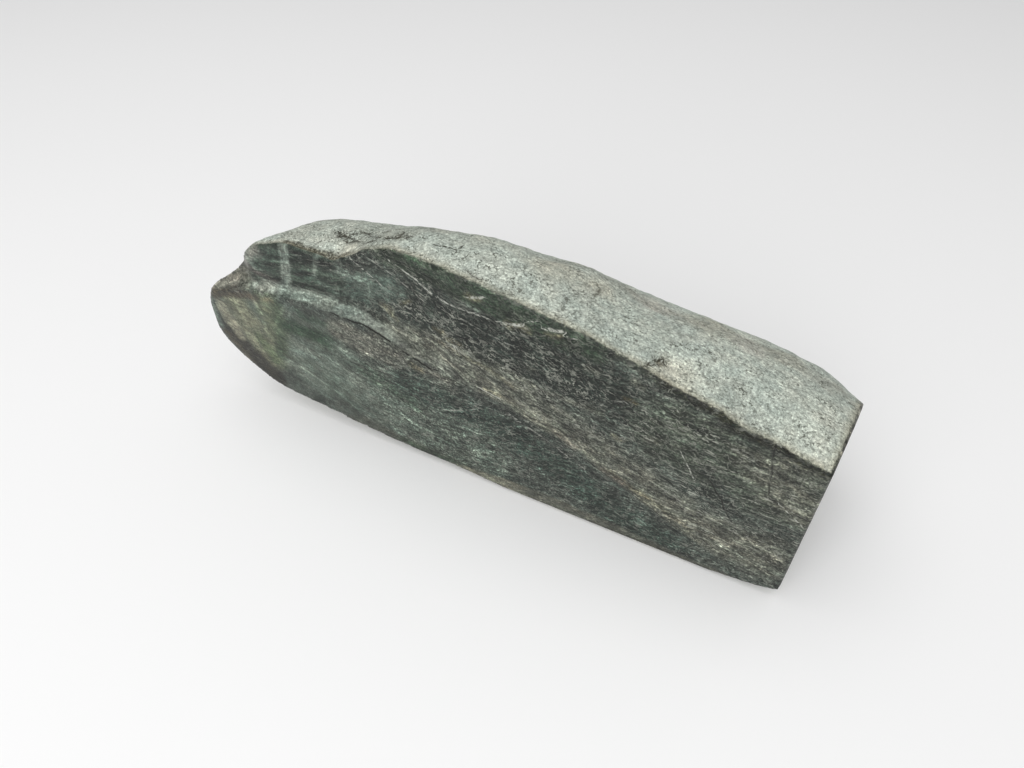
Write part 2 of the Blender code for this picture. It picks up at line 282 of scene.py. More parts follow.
# Soft streaks, paler where the strength is above 0 and darker below it.
WISPS = [
    ([(-281.6, 71.2), (-277.9, 67.3), (-276.9, 59.7), (-274.8, 55.0)], 1.3, 0.6),
    ([(-267.6, 75.9), (-264.0, 69.7), (-262.1, 61.6), (-261.7, 50.7)], 1.6, 0.55),
    ([(-292.5, 67.2), (-282.6, 70.7), (-274.3, 74.0), (-270.8, 76.0)], 0.7, -1.0),
    ([(-292.8, 58.4), (-291.6, 48.6), (-289.9, 42.6)], 0.6, -0.9),
    ([(-289.4, 61.4), (-282.6, 64.1), (-276.7, 65.5)], 0.9, 0.5),
    ([(-272.0, 52.0), (-269.0, 42.0), (-266.0, 33.0)], 0.8, -0.5),
    ([(-287.0, 46.5), (-281.0, 49.0)], 1.4, 0.35),
    ([(-272.8, 81.7), (-262.7, 83.8), (-256.4, 81.8)], 0.5, 0.6),
    ([(-261.3, 82.6), (-256.7, 80.9), (-251.1, 79.6)], 0.5, 0.5),
    ([(-276.4, 80.0), (-269.2, 78.6), (-262.2, 77.7), (-252.8, 78.3)], 1.2, 0.35),
    ([(-236.9, 99.5), (-227.1, 101.9), (-215.6, 104.8)], 1.6, -1.1),
    ([(-259.8, 90.5), (-253.3, 92.2), (-246.1, 94.3)], 0.7, -1.2),
    ([(-257.0, 97.5), (-250.3, 98.2), (-244.1, 99.3)], 0.7, -1.1),
    ([(-256.0, 94.2), (-250.0, 95.4), (-245.0, 96.6)], 0.4, 0.7),
    ([(-238.8, 91.9), (-233.8, 93.1), (-226.2, 96.0)], 0.8, -1.2),
    ([(-238.0, 95.2), (-230.0, 97.0), (-222.0, 99.4)], 0.4, 0.6),
    ([(-238.8, 86.9), (-229.8, 88.1), (-222.2, 88.0)], 0.8, -1.0),
    ([(-236.0, 104.5), (-228.0, 105.6)], 0.7, -0.9),
    ([(-258.7, 82.7), (-246.8, 86.1)], 0.8, -1.0),
    ([(-262.0, 86.4), (-254.0, 89.0), (-247.0, 91.2)], 0.4, 0.7),
    ([(-243.8, 75.3), (-249.6, 66.2), (-255.6, 56.8)], 0.9, 0.5),
    ([(-249, 80.4), (-232, 83.2), (-214, 84.0), (-200, 82.2), (-186, 77.6)], 0.4, 0.5),
    ([(-246, 78.8), (-232, 81.6), (-214, 82.2), (-200, 80.6)], 0.3, -0.3),
    ([(-284, 77.5), (-276, 82), (-270, 85)], 1.2, -0.8),
    ([(-240, 85.0), (-226, 86.0), (-212, 85.8), (-198, 84.4)], 0.5, -0.8),
    ([(-240.6, 110), (-242.0, 97), (-245.4, 84)], 0.35, -0.5), ([(-238.4, 111), (-239.9, 98), (-243.2, 84)], 0.4, 0.4),
    ([(-286, 70.6), (-279, 74.0), (-272, 77.6)], 0.4, 0.6), ([(-280, 76.6), (-273, 80.6)], 0.4, -0.7),
    ([(-241.0, 73.0), (-244.8, 66.7)], 0.8, 0.5),
    ([(-237.2, 49.3), (-234.4, 44.7), (-228.1, 50.2), (-224.6, 48.8)], 0.8, 0.8),
    ([(-253.1, 32.9), (-243.8, 41.8), (-242.2, 33.6)], 2.0, 0.4),
    ([(-222, 47), (-204, 40), (-188, 30), (-176, 22)], 0.7, 0.7),
    ([(-244, 34), (-226, 26), (-206, 14)], 0.8, 0.5),
    ([(-206, 60), (-190, 56), (-176, 56)], 0.8, -0.8),
    ([(-214, 56), (-199, 52), (-186, 48), (-176, 46)], 0.5, 0.6),
    ([(-140.3, 66.3), (-133.8, 66.7)], 0.4, 1.2),
    ([(-167.8, 68.8), (-160.8, 67.2), (-153.7, 63.1)], 0.5, 0.9),
    ([(-166.9, 78.1), (-156.7, 73.4), (-146.8, 66.4), (-139.5, 65.6)], 0.5, 0.9),
    ([(-167.6, 58.7), (-157.3, 57.5)], 0.4, 1.3),
    ([(-161.9, 42.3), (-152, 45.6), (-145.0, 50.9)], 0.5, 1.2),
    ([(-135.8, 47.7), (-119.4, 51.0)], 0.4, 1.2),
    ([(-170.4, 26.5), (-152.0, 29.9)], 0.5, 0.7),
    ([(-152.0, 60.6), (-139.7, 59.3), (-131.6, 56.8), (-120.2, 52.2), (-109.8, 47.3)], 1.8, -0.9),
    ([(-104, 46), (-92, 39.6), (-78, 33.2)], 1.6, -0.7),
    ([(-117.9, 57.1), (-107.1, 60.3), (-98.1, 61.7)], 0.6, 0.8),
    ([(-104.8, 75.6), (-95.8, 73.0), (-88.3, 69.7), (-77.4, 68.1)], 0.6, 0.8),
    ([(-119.0, 74.0), (-115.1, 69.8)], 0.4, 1.2),
    ([(-83.8, 74.9), (-84.7, 77.4), (-81.6, 81.8), (-77.2, 84.8)], 0.4, 1.2),
    ([(-136.2, 105.3), (-127.4, 105.6), (-118.9, 107.3), (-110.5, 107.6), (-101.0, 109.7)], 0.6, -1.1),
    ([(-135.4, 105.1), (-132.5, 104.5)], 1.1, -1.8),
    ([(-62, 47), (-44, 41), (-26, 35), (-8, 30)], 0.5, 0.7),
    ([(-36, 23), (-20, 21), (-4, 15)], 0.5, 0.9),
    ([(-60, 88), (-46, 84), (-34, 83)], 1.4, -0.6),
    ([(-24, 46), (-12, 41), (-2, 36)], 1.2, -0.6),
]
CRACKS = [
    ([(-217, 79.6), (-207, 78.8), (-198.5, 78.6), (-189.1, 74.9), (-179.2, 70.4), (-166.8, 66.2)], 0.4, 1.0),
    ([(-160, 64.5), (-133, 61), (-118, 56.6), (-104, 51)], 0.3, 0.5),
    ([(-104, 51), (-90, 44.5), (-75, 37), (-60, 29.5), (-46, 22)], 0.3, 0.6),
    ([(-21.2, 88.8), (-20.6, 82), (-19.1, 76.4), (-18.8, 71), (-17.8, 66)], 0.4, 0.7),
    ([(-41.6, 62), (-38.4, 59), (-36.2, 55), (-33.4, 52), (-31.8, 47.6), (-27.7, 41.3)], 0.4, 0.8),
    ([(-6.2, 58.4), (0.4, 57.5)], 0.4, 0.8),
    ([(-212, 52), (-196, 52.5), (-176, 53)], 0.4, 0.4),
    ([(-184, 119), (-158, 116), (-150, 112)], 0.3, 0.4),
]
# Paler streaky bands that cross the recessed panel, as (line in (u, w), half width, share).
PANEL_BANDS = [
    ([(-238.5, 113), (-239.8, 107.5), (-240.9, 97), (-244.5, 81)], 2.7, 1.0),
    ([(-221.5, 108), (-223.4, 102.7), (-225.6, 96)], 1.0, 0.7),
    ([(-268, 90), (-264, 98), (-257, 104)], 1.8, 0.7),
]

# Stains and bare places of the rind, as (colour, share, (u, v, w), radius, softness).
RIND_PATCHES = [
    ("rind grey", 0.35, (-236, 20, 104), 18, 14),
    ("rind brown", 0.1, (-212, 22, 111), 13, 14),
    ("rind brown", 0.25, (-190, 16, 120), 12, 12),
    ("rind brown", 0.4, (-60, 52, 92), 12, 12),
    ("rind brown", 0.4, (-30, 54, 86), 10, 10),
    ("rind rose", 0.5, (-44, 48, 90), 8, 8),
    ("rind rose", 0.5, (-84, 50, 98), 9, 9),
    ("rind beige", 0.35, (-208, 8, 113), 7, 8),
    ("rind grey", 0.5, (-170, 30, 117), 14, 14),
    ("rind grey", 0.7, (-230, 60, 60), 22, 20),
    ("rind brown", 0.5, (-150, 90, 70), 20, 22),
    ("rind dark", 0.35, (-90, 92, 40), 22, 24),
    ("rind beige", 0.6, (-200, 84, 40), 16, 18),
    ("rind grey", 0.7, (-40, 90, 60), 16, 18),
    ("rind beige", 0.6, (-104, 33, 109), 7, 8),
    ("rind beige", 0.6, (-123, 30, 116), 11, 12),
    ("rind green", 0.2, (-118, 12, 117), 18, 16),
    ("rind green", 0.6, (-88, 16, 109), 20, 16),
    ("rind green", 0.6, (-34, 16, 96), 20, 18),
    ("rind beige", 0.5, (-62, 6, 102), 9, 9),
    ("iron", 0.7, (-69.5, 8.5, 104.2), 1.6, 2.6),
]
# The cream strip of the rind along the front rim, and the greyer one along its back, which is painted shade where the
# rind curves down at the back, as lines in (u, v, w).
CREAM_RIM = [(-150, 2, 126), (-124, 2, 120), (-91, 2, 110), (-51, 2, 100), (-6, 2, 89)]
GREY_BACK_SHADE = [(-125, 44, 110), (-90, 50, 98), (-64, 49, 96), (-39, 52, 90), (-4, 50, 80)]
# The mossy strip on the rind's rim above the panel.
MOSS_RIM = [(-238, 5, 109.6), (-230, 5, 108), (-224, 5, 106.8), (-218, 5, 106), (-213, 5, 108), (-207, 5, 113)]

# Cracks of the rind, as (line in (u, v, w), half width, depth), in mm.
RIND_CRACKS = [
    ([(-222, 21, 108), (-211, 16.2, 112.2), (-204, 14, 114), (-197, 11.5, 117.4)], 1.1, 0.9),
    ([(-220, 18, 109), (-213, 14.3, 111.6), (-208, 15, 112.6)], 0.9, 0.6),
    ([(-215, 20.7, 110.4), (-210, 24.2, 110.4), (-203, 20, 114), (-195, 14.7, 118)], 0.9, 0.8),
    ([(-203, 27, 111), (-196, 24, 114.5), (-190, 22, 118)], 0.8, 0.5),
    ([(-190, 12, 120.7), (-184, 12, 123.6), (-178.5, 12.7, 125.2)], 0.9, 0.8),
    ([(-184, 12, 123.6), (-184, 16.2, 123)], 0.8, 0.6),
    ([(-166, 11, 126.9), (-161, 12.3, 126.5), (-157, 12.5, 126.2), (-156, 15, 125.7)], 0.8, 0.7),
    ([(-180, 3, 122.4), (-175, 3.4, 125.4), (-171.5, 5.2, 126.3)], 0.6, 0.4),
    ([(-73, 2.6, 105), (-71, 7.4, 104.8), (-69, 10.4, 104), (-67.5, 9.2, 102.8)], 0.8, 1.0),
    ([(-106, 36, 109.7), (-103.4, 32.3, 109.6), (-102.7, 24, 111.6)], 0.6, 0.2),
    ([(-236, 4.5, 108.5), (-229, 5, 108), (-221, 5.5, 108)], 0.8, 0.6),
    ([(-148, 4, 124.6), (-144, 3, 124), (-141, 3.2, 123.6)], 0.5, 0.4),
]
# Pits of the rind, as (u, v, w, radius, depth), in mm.
PITS = [
    (-217, 16.6, 110.3, 2.6, 0.7), (-212, 22, 111, 3.0, 0.8), (-205, 26, 111, 3.2, 0.8),
    (-184, 11, 124, 2.4, 0.5), (-151, 31, 119.6, 2.4, 0.6), (-70.5, 7.5, 104.6, 2.2, 0.9),
    (-120, 22, 118, 3.0, 0.4), (-88, 26, 107, 3.4, 0.4), (-48, 24, 100, 3.2, 0.4), (-30, 40, 92, 3.6, 0.5),
    (-226, 10, 107, 3.0, 0.6),
]
# Worn relief finer than the solid's, as (size of the waves, height), in mm.
FINE_RELIEF = [(7.0, 0.30), (3.6, 0.26), (2.3, 0.16)]
FOOT_HEIGHT = 8.5
# How far the worn front rim hangs below the solid's, as (u, mm).
RIM_DROP = [
    (-262, 0), (-222, 0), (-214, 4.5), (-205, 2.6), (-197, 0), (-182, 1.0), (-174, 2.9), (-160, 2.9), (-153, 1.9),
    (-134, 1.9), (-121, 0.9), (-112, 0), (-97, -1.8), (-78, -1.4), (-55, 0), (-43, 0), (-37, 2.4), (-31, 2.8),
    (-20, 1.2), (-14, 2.4), (-1, 2.0), (10, 2.0),
]
VOXEL = 1.15 * MM


# ---------------------------------------------------------------- fields in numpy

def smoothstep(low, high, value):
    t = np.clip((value - low) / (high - low), 0, 1)
    return t * t * (3 - 2 * t)


def wander(points, size, seed):
    """Smooth noise from about -1 to 1 at the points, with waves of this size."""
    q = points / size + np.array((seed * 7.31, seed * 3.17, seed * 5.71))
    return np.array([noise.noise(p) for p in q.tolist()])


def spot(distance, radius, soft):
    """1 within the radius and 0 outside it, fading over the soft width."""
    return 1 - smoothstep(radius - soft / 2, radius + soft / 2, distance)


def line_distance(points, line):
    """(distance, signed distance) of 2D points from a line of points. It is positive on the line's left."""
    best = np.full(len(points), 1e9)
    signed = np.full(len(points), 1e9)
    for a, b in zip(line, line[1:]):
        a, b = np.array(a, float), np.array(b, float)
        along = b - a
        t = np.clip((points - a) @ along / (along @ along), 0, 1)
        offset = points - (a + t[:, None] * along)
        d = np.hypot(offset[:, 0], offset[:, 1])
        side = np.sign(along[0] * offset[:, 1] - along[1] * offset[:, 0])
        nearer = d < best
        best = np.where(nearer, d, best)
        signed = np.where(nearer, d * np.where(side == 0, 1, side), signed)
    return best, signed


def reach(points, line):
    """The distance of 3D points from a line of points."""
    best = np.full(len(points), 1e9)
    for a, b in zip(line, line[1:]):
        a, b = np.array(a, float), np.array(b, float)
        along = b - a
        t = np.clip((points - a) @ along / (along @ along), 0, 1)
        best = np.minimum(best, np.linalg.norm(points - a - t[:, None] * along, axis=1))
    return best


def table(rows, column, at):
    return np.interp(at, [r[0] for r in rows], [r[column] for r in rows])


def linear(rgb):
    c = np.array(rgb, float) / 255
    return np.where(c <= 0.04045, c / 12.92, ((c + 0.055) / 1.055) ** 2.4)


# ---------------------------------------------------------------- the stone's mesh

def fine_copy():
    """An even, fine mesh of the frame's solid, as a new object."""
    bm = bmesh.new()
    bm.from_mesh(frame["nodes"][NODE].data)
    bmesh.ops.remove_doubles(bm, verts=bm.verts, dist=1e-6)
    mesh = bpy.data.meshes.new(PIECE)
    bm.to_mesh(mesh)
    bm.free()
    piece = bpy.data.objects.new(PIECE, mesh)
    bpy.context.scene.collection.objects.link(piece)
    even = piece.modifiers.new("even mesh", "REMESH")
    even.mode = "VOXEL"
    even.voxel_size = VOXEL
    bpy.context.view_layer.update()
    piece.data = bpy.data.meshes.new_from_object(piece.evaluated_get(bpy.context.evaluated_depsgraph_get()))
    piece.modifiers.clear()
    piece.data.name = PIECE
    piece.data.materials.clear()
    return piece


def vertex_array(mesh, owner, field, width):
    values = np.empty(len(owner) * width, np.float32)
    owner.foreach_get(field, values)
    return values.reshape(-1, width).astype(float)


def relaxed(co, edges, share, rounds):
    """Evens out the surface where share is 1, which removes the solid's facets from the worn skin."""
    a, b = edges[:, 0], edges[:, 1]
    count = len(co)
    degree = np.bincount(a, minlength=count) + np.bincount(b, minlength=count)
    for _ in range(rounds):
        mean = np.stack(
            [(np.bincount(a, co[b, k], count) + np.bincount(b, co[a, k], count)) / degree for k in range(3)], 1
        )
        co = co + (mean - co) * (share * 0.7)[:, None]
    return co


def recess(u, w):
    """How far the sawn surface lies behind the front plane at (u, w): 0 but on the ledge and the panel."""
    rise = np.maximum(table(SECOND_CUT, 3, u), 0.3)
    climb = np.clip((w - table(SECOND_CUT, 1, u)) / rise, 0, 1)
    return np.where(u < SECOND_CUT[-1][0], table(SECOND_CUT, 2, u) * climb, 0)


def face_mm(co):
    return (co - np.array((CORNER_X, FRONT_Y, 0))) / MM


def from_face_mm(uvw):
    return uvw * MM + np.array((CORNER_X, FRONT_Y, 0))


def nearest(points, targets):
    """The distance of each point from the nearest target."""
    tree = kdtree.KDTree(len(targets))
    for i, p in enumerate(targets.tolist()):
        tree.insert(p, i)
    tree.balance()
    return np.array([tree.find(p)[2] for p in points.tolist()])


class Stone:
    """The stone's mesh, with the fields that its shape and its material share."""

    def __init__(self):
        self.piece = fine_copy()
        mesh = self.piece.data
        self.co = vertex_array(mesh, mesh.vertices, "co", 3)
        self.normal = vertex_array(mesh, mesh.vertex_normals, "vector", 3)
        edges = np.empty(len(mesh.edges) * 2, np.int32)
        mesh.edges.foreach_get("vertices", edges)
        self.edges = edges.reshape(-1, 2)
        self.measure()

    def measure(self):
        self.uvw = face_mm(self.co)
        u, v, w = self.uvw.T
        self.behind = v - recess(u, w)
        normal = np.array(END_NORMAL)
        self.inside_end = (np.array(END_POINT) - self.co) @ normal / MM

    def shape(self):
        skin = smoothstep(0.6, 1.6, np.minimum(self.behind, self.inside_end))
        base = (self.uvw[:, 2] < 0.5) & (self.normal[:, 2] < -0.9)
        self.co = relaxed(self.co, self.edges, skin * ~base, 10)
        self.lower_rim()
        self.settle_cuts()
        self.measure()
        self.rind = smoothstep(0.5, 1.3, np.minimum(self.behind, self.inside_end))
        sawn, worn = self.rind < 0.5, self.rind >= 0.5
        self.rim = np.empty(len(self.co))
        self.rim[sawn] = -nearest(self.uvw[sawn], self.uvw[worn])
        self.rim[worn] = nearest(self.uvw[worn], self.uvw[sawn])
        self.carve()

    def lower_rim(self):
        """Lets the worn front rim hang where the table says, fading down the front and over the top."""
        u, v, w = self.uvw.T
        front = (v < 9) & (self.normal[:, 1] < -0.5)
        bins = np.clip(((u + 320) / 4).astype(int), 0, 99)
        rim = np.zeros(100)
        np.maximum.at(rim, bins[front], w[front])
        high = np.interp(u, np.arange(100) * 4 - 318, rim)
        near = smoothstep(-22, -2, w - high) * (1 - smoothstep(3, 26, v))
        self.co[:, 2] -= table(RIM_DROP, 1, u) * near * MM
        self.measure()

    def settle_cuts(self):
        """Puts what lies on a cut exactly on it, and the worn foot of the front nearly so."""
        u, v, w = self.uvw.T
        foot = (w < FOOT_HEIGHT) & (v < 3) & (self.normal[:, 1] < -0.5)
        self.co[foot, 1] = FRONT_Y + (0.2 * v + 1.1 * (1 - smoothstep(0.2, 1.8, w)))[foot] * MM
        facing = self.normal[:, 1] < -0.93
        on_front = facing & (np.abs(self.behind) < 0.5)
        self.co[on_front, 1] = FRONT_Y + recess(u, w)[on_front] * MM
        normal = np.array(END_NORMAL)
        on_end = (self.normal @ normal > 0.95) & (np.abs(self.inside_end) < 0.5)
        self.co[on_end] += self.inside_end[on_end, None] * MM * normal

    def carve(self):
        uvw = self.uvw
        growing = smoothstep(0.5, 4.0, self.rim) * smoothstep(0.0, 3.0, uvw[:, 2])
        height = sum(size * wander(uvw, wave, k + 1) for k, (wave, size) in enumerate(FINE_RELIEF)) * growing
        for u, v, w, radius, depth in PITS:
            near = np.linalg.norm(uvw - (u, v, w), axis=1) / radius
            height -= depth * np.exp(-near**2)
        ragged = uvw + np.stack([wander(uvw, 3.0, 41 + k) for k in range(3)], 1) * 0.9
        self.cracked = np.zeros(len(uvw))
        self.near_crack = np.zeros(len(uvw))
        for line, half, depth in RIND_CRACKS:
            cut = np.exp(-((reach(ragged, line) / half) ** 2)) * (self.rim > 0)
            height -= depth * cut
            self.cracked = np.maximum(self.cracked, smoothstep(0.3, 0.8, cut))
            wide = np.exp(-((reach(ragged, line) / (half * 2.4)) ** 2)) * (self.rim > 0)
            self.near_crack = np.maximum(self.near_crack, np.clip(1.3 * wide * depth, 0, 1))
        weak = 0.2 + 0.9 * np.exp(-(((uvw[:, 0] + 222) / 24) ** 2))
        crumble = np.exp(-((self.rim / 1.5) ** 2)) * np.maximum(wander(uvw, 2.6, 9) + 0.15, 0)
        height -= weak * crumble * (uvw[:, 2] > 0.6)
        self.co += self.normal * (height * MM)[:, None]
        room = 0.01 * MM
        self.co = np.clip(self.co, np.array(cad_low) + room, np.array(cad_high) - room)
        self.piece.data.vertices.foreach_set("co", self.co.astype(np.float32).ravel())
        self.piece.data.update()

    # ------------------------------------------------ the fields that the material reads

    def grain(self):
        """The fibres' own coordinates in mm: along them, across them, and into the stone."""
        u, v, w = self.uvw.T
        steps = np.arange(-320, 60, 2.0)

        def drift(rows):
            slope = np.tan(np.radians(table(rows, 1, steps)))
            return np.interp(u, steps, np.cumsum(slope) * 2.0)

        above = w > table(BAND_FOOT, 1, u)
        across = w - np.where(above, drift(LEAN_ABOVE), drift(LEAN_BELOW) + 31.0)
        across += 2.2 * wander(self.uvw, 34, 3) + 0.7 * wander(self.uvw, 11, 4)
        return np.stack([u, across, v], 1)

    def face_tint(self):
        ragged = self.uvw + np.stack([wander(self.uvw, 9, 21), 0 * self.rim, wander(self.uvw, 7, 22)], 1) * 3.0
        at = ragged[:, [0, 2]]
        face = self.uvw[:, [0, 2]]
        u, v, w = self.uvw.T
        tint = np.tile(linear(PALETTE["green grey"]), (len(at), 1))
        foot = w - table(BAND_FOOT, 1, u)

        def paint(colour, share):
            tint[:] += (linear(PALETTE[colour]) - tint) * share[:, None]

        for colour, share, line, half, soft in FACE_PATCHES:
            mask = spot(line_distance(at, line)[0], half, soft)
            if colour in ("pale band", "straw"):
                mask *= smoothstep(-1.2, 0.8, foot)
            if colour in ("teal", "taupe", "clear grey green"):
                mask *= 1 - smoothstep(-0.5, 1.2, foot) * (u > -230)
            paint(colour, mask * share)
        near = (self.uvw + np.stack([wander(self.uvw, 4, 25), 0 * self.rim, wander(self.uvw, 4, 26)], 1))[:, [0, 2]]
        for colour, share, line, half, soft in FACE_STROKES:
            paint(colour, share * spot(line_distance(near, line)[0], half, soft))
        thick = 1 + 0.8 * smoothstep(-70, -50, u)
        # The dark weathered jade along the rind's rim, its own colour.
        edge = smoothstep(-2.4, -1.2, self.rim / thick + 0.5 * wander(self.uvw, 5, 41)) * smoothstep(-190, -180, u)
        edge *= smoothstep(50, 70, w) * (v < 9)
        paint("weathered_and_shade", (0.6 + 0.3 * smoothstep(-70, -50, u)) * edge)
        weathered_and_shade = smoothstep(-4.4, -2.0, self.rim + 1.1 * wander(self.uvw, 5, 23))
        weathered_and_shade *= 0.35 * smoothstep(-130, -100, u) + 0.65 * smoothstep(-78, -58, u)
        weathered_and_shade *= 1 - 0.8 * smoothstep(-38, -14, u)
        weathered_and_shade *= smoothstep(50, 70, w) * (v < 9) * (0.95 + 0.5 * wander(self.uvw, 18, 27))
        paint("weathered_and_shade", np.clip(weathered_and_shade, 0, 1))
        # A paler rind-coloured rim on the sawn faces away from the front, mostly the end face: partly weathered skin
        # and partly painted light that lifts the end face's shade.
        end_rim_crust_and_light = smoothstep(-3.2, -1.4, self.rim + 0.6 * wander(self.uvw, 5, 42)) * smoothstep(6, 12, v)
        paint("under rind", 0.8 * end_rim_crust_and_light)
        bands = np.zeros(len(u))
        for line, half, share in PANEL_BANDS:
            band = spot(line_distance(face, line)[0] + 0.5 * wander(self.uvw, 3, 24), half, 1.6)
            paint("ledge", 0.8 * band * share * (foot > 1.0))
            bands = np.maximum(bands, band * (foot > 1.0))
        # The ledge: paler streaky stone with painted sheen of light where it faces up.
        calm_and_sheen = spot(line_distance(at, LEDGE_SHEEN)[0], 3.2, 3.0) * smoothstep(-0.2, 0.7, foot)
        calm_and_sheen *= 1 - 0.7 * smoothstep(-208, -176, u)
        paint("ledge", 0.9 * calm_and_sheen * smoothstep(-276, -262, u))
        paint("rim pale", 0.6 * calm_and_sheen * (1 - smoothstep(-256, -244, u)))
        facet = smoothstep(0.2, 1.0, foot) * (1 - smoothstep(-270, -262, u)) * (v < 9)
        paint("taupe", facet * 0.9)
        paint("facet pale", 0.8 * facet * spot(line_distance(face, FACET_PALE)[0] + 0.6 * wander(self.uvw, 4, 40), 2.2, 1.4))
        # Where the fibres show less: the calmer strips and bands, and the ledge with its painted sheen.
        self.calm_and_sheen = np.maximum.reduce([smoothstep(0.1, 0.6, calm_and_sheen), facet, bands, self.worn_strips(paint)])
        for a, b in KNOTS:
            knot = spot(line_distance(at, [a, b])[0], 1.4, 2.0)
            paint("straw", knot * 0.55)
        middle = linear(PALETTE["green grey"])
        return middle * (tint / middle) ** FACE_CONTRAST * FACE_GAIN

    def worn_strips(self, paint):
        """Paints the glassy strip under the rim, the worn strip of the foot, and the dark line at the foot under the
        front's lower rim, which is painted shade where the stone meets the floor.
        """
        u, v, w = self.uvw.T
        at = self.uvw[:, [0, 2]] + np.stack([wander(self.uvw, 6, 28), 1.6 * wander(self.uvw, 6, 29)], 1)
        near_top = smoothstep(-6.5, -3.0, self.rim + wander(self.uvw, 8, 30)) * smoothstep(-196, -182, u)
        glassy = np.maximum(spot(line_distance(at, GLASSY_STRIP)[0], 4.2, 2.5), near_top * (u < -88))
        glassy *= 1 - smoothstep(-92, -84, u)
        pocket = smoothstep(-0.1, 0.5, wander(self.uvw * (0.5, 1, 1), 5, 33))
        paint("olive rim", glassy * (v < 6))
        paint("deep olive", glassy * pocket * (v < 6) * 0.9)
        foot = smoothstep(-0.6, 0.6, table(FOOT_STRIP, 1, u) - w + 0.8 * wander(self.uvw, 9, 34)) * (v < 6)
        paint("bottom brown", foot * 0.9)
        paint("pale olive", 0.45 * foot * spot(np.abs(u + 140), 18, 24))
        # Painted shade: a dark line along the bottom of the front, where the stone meets the floor, taller to the
        # right.
        foot_shade_height = 1.2 + 2.2 * smoothstep(-120, -60, u)
        paint("weathered_and_shade", smoothstep(0.3, -0.7, (w + 0.6 * wander(self.uvw, 6, 38)) / foot_shade_height - 1) * (v < 4) * 0.9)
        return np.maximum(0.6 * glassy, foot * 0.85)

    def rind_tint(self):
        ragged = self.uvw + np.stack([wander(self.uvw, 6, 31 + k) for k in range(3)], 1) * 2.5
        tint = np.tile(linear(PALETTE["rind"]), (len(ragged), 1))

        def paint(colour, share):
            tint[:] += (linear(PALETTE[colour]) - tint) * share[:, None]

        paint("rind beige", smoothstep(-0.1, 0.6, wander(self.uvw, 24, 35)) * 0.2)
        for colour, share, centre, radius, soft in RIND_PATCHES:
            paint(colour, share * spot(np.linalg.norm(ragged - centre, axis=1), radius, soft))
        paint("rind beige", 0.2 * spot(reach(ragged, CREAM_RIM) + 2.5 * wander(self.uvw, 8, 37), 2.0, 3))
        # Painted shade: the rind greyer along its back, where it curves down.
        paint("rind grey", 0.6 * spot(reach(ragged, GREY_BACK_SHADE) + 3 * wander(self.uvw, 9, 39), 6, 7))
        mossy = spot(reach(ragged, MOSS_RIM), 2.8, 2.4)
        paint("moss", 0.75 * mossy)
        paint("moss", 0.6 * self.cracked)
        self.crusted = np.maximum(mossy, self.near_crack)
        paint("rind brown", 0.6 * (1 - smoothstep(0.5, 4.5, self.rim)))
        paint("under rind", 0.6 * (1 - smoothstep(20, 60, self.uvw[:, 2] + 3 * wander(self.uvw, 20, 36))))
        return tint * RIND_GAIN

    def nearest_line(self, lines, at, shown):
        """For each vertex the nearest of the lines, as (signed distance, half width, strength).

        The strength is 0 far from the lines, where the sign of the distance can jump."""
        best = np.full(len(at), 1e9)
        out = np.zeros((len(at), 3))
        for line, half, strength in lines:
            distance, signed = line_distance(at, line)
            nearer = distance < best
            best = np.where(nearer, distance, best)
            out[nearer] = np.stack([np.clip(signed, -9, 9), 0 * signed + half, 0 * signed + strength], 1)[nearer]
        out[:, 2] *= shown & (best < 1.5 * out[:, 1] + 1.3)
        return out

    def clearness(self):
        """1 where the jade is clear and even, 0 where it is full of fibres."""
        u, v, w = self.uvw.T
        clear = 1 - smoothstep(-225, -176, u + 0.35 * (w - 40))
        clear *= smoothstep(0.5, 3, table(BAND_FOOT, 1, u) - w)
        taupe = spot(line_distance(self.uvw[:, [0, 2]], [(-214, 69), (-176, 62)])[0], 7, 6)
        bluish = spot(line_distance(self.uvw[:, [0, 2]], [(-206, 96), (-186, 104)])[0], 8, 7)
        panel = 0.78 * (1 - smoothstep(-220, -205, u)) * (w > table(BAND_FOOT, 1, u))
        return np.maximum.reduce([clear * (1 - 0.25 * taupe), 0.7 * bluish, panel])

    def density(self, zones):
        at = self.uvw[:, [0, 2]] + np.stack([wander(self.uvw, 12, 51), wander(self.uvw, 12, 52)], 1) * 4
        total = np.zeros(len(at))
        for line, half, soft, share in zones:
            total = np.maximum(total, share * spot(line_distance(at, line)[0], half, soft))
        return total

    def save_fields(self):
        mesh = self.piece.data
        front = self.face_tint()
        colour = front + (self.rind_tint() - front) * self.rind[:, None]
        rgba = np.concatenate([colour, np.ones((len(colour), 1))], 1)
        mesh.attributes.new("tint", "FLOAT_COLOR", "POINT").data.foreach_set("color", rgba.astype(np.float32).ravel())
        front, top = self.uvw[:, [0, 2]], self.uvw[:, [0, 1]]
        on_front = (self.uvw[:, 1] < 9) & (self.rind < 0.9)
        on_top = (self.uvw[:, 2] > 60) & (self.rind > 0.1)
        seams = [([p[:2] for p in line], half * 0.5, min(depth + 0.3, 1)) for line, half, depth in RIND_CRACKS]
        vectors = {
            "grain": self.grain(), "vein": self.nearest_line(VEINS, front, on_front),
            "crack": self.nearest_line(CRACKS, front, on_front), "wisp": self.nearest_line(WISPS, front, on_front),
            "seam": self.nearest_line(seams, top, on_top),
        }
        for name, values in vectors.items():
            mesh.attributes.new(name, "FLOAT_VECTOR", "POINT").data.foreach_set(
                "vector", values.astype(np.float32).ravel()
            )
        foot = table(BAND_FOOT, 1, self.uvw[:, 0]) - self.uvw[:, 2]
        straw = self.density(STRAWED) * (1 - smoothstep(-0.5, 1.5, foot))
        floats = {
            "rind": self.rind,
            "crusted": self.crusted,
            "clear": np.maximum(self.clearness(), 0.85 * self.calm_and_sheen),
            "tip": 1 - smoothstep(-266, -250, self.uvw[:, 0]),
            "speckled": self.density(SPECKLED),
            "straw": straw,
        }
        for name, values in floats.items():
            mesh.attributes.new(name, "FLOAT", "POINT").data.foreach_set("value", values.astype(np.float32))


# ---------------------------------------------------------------- materials

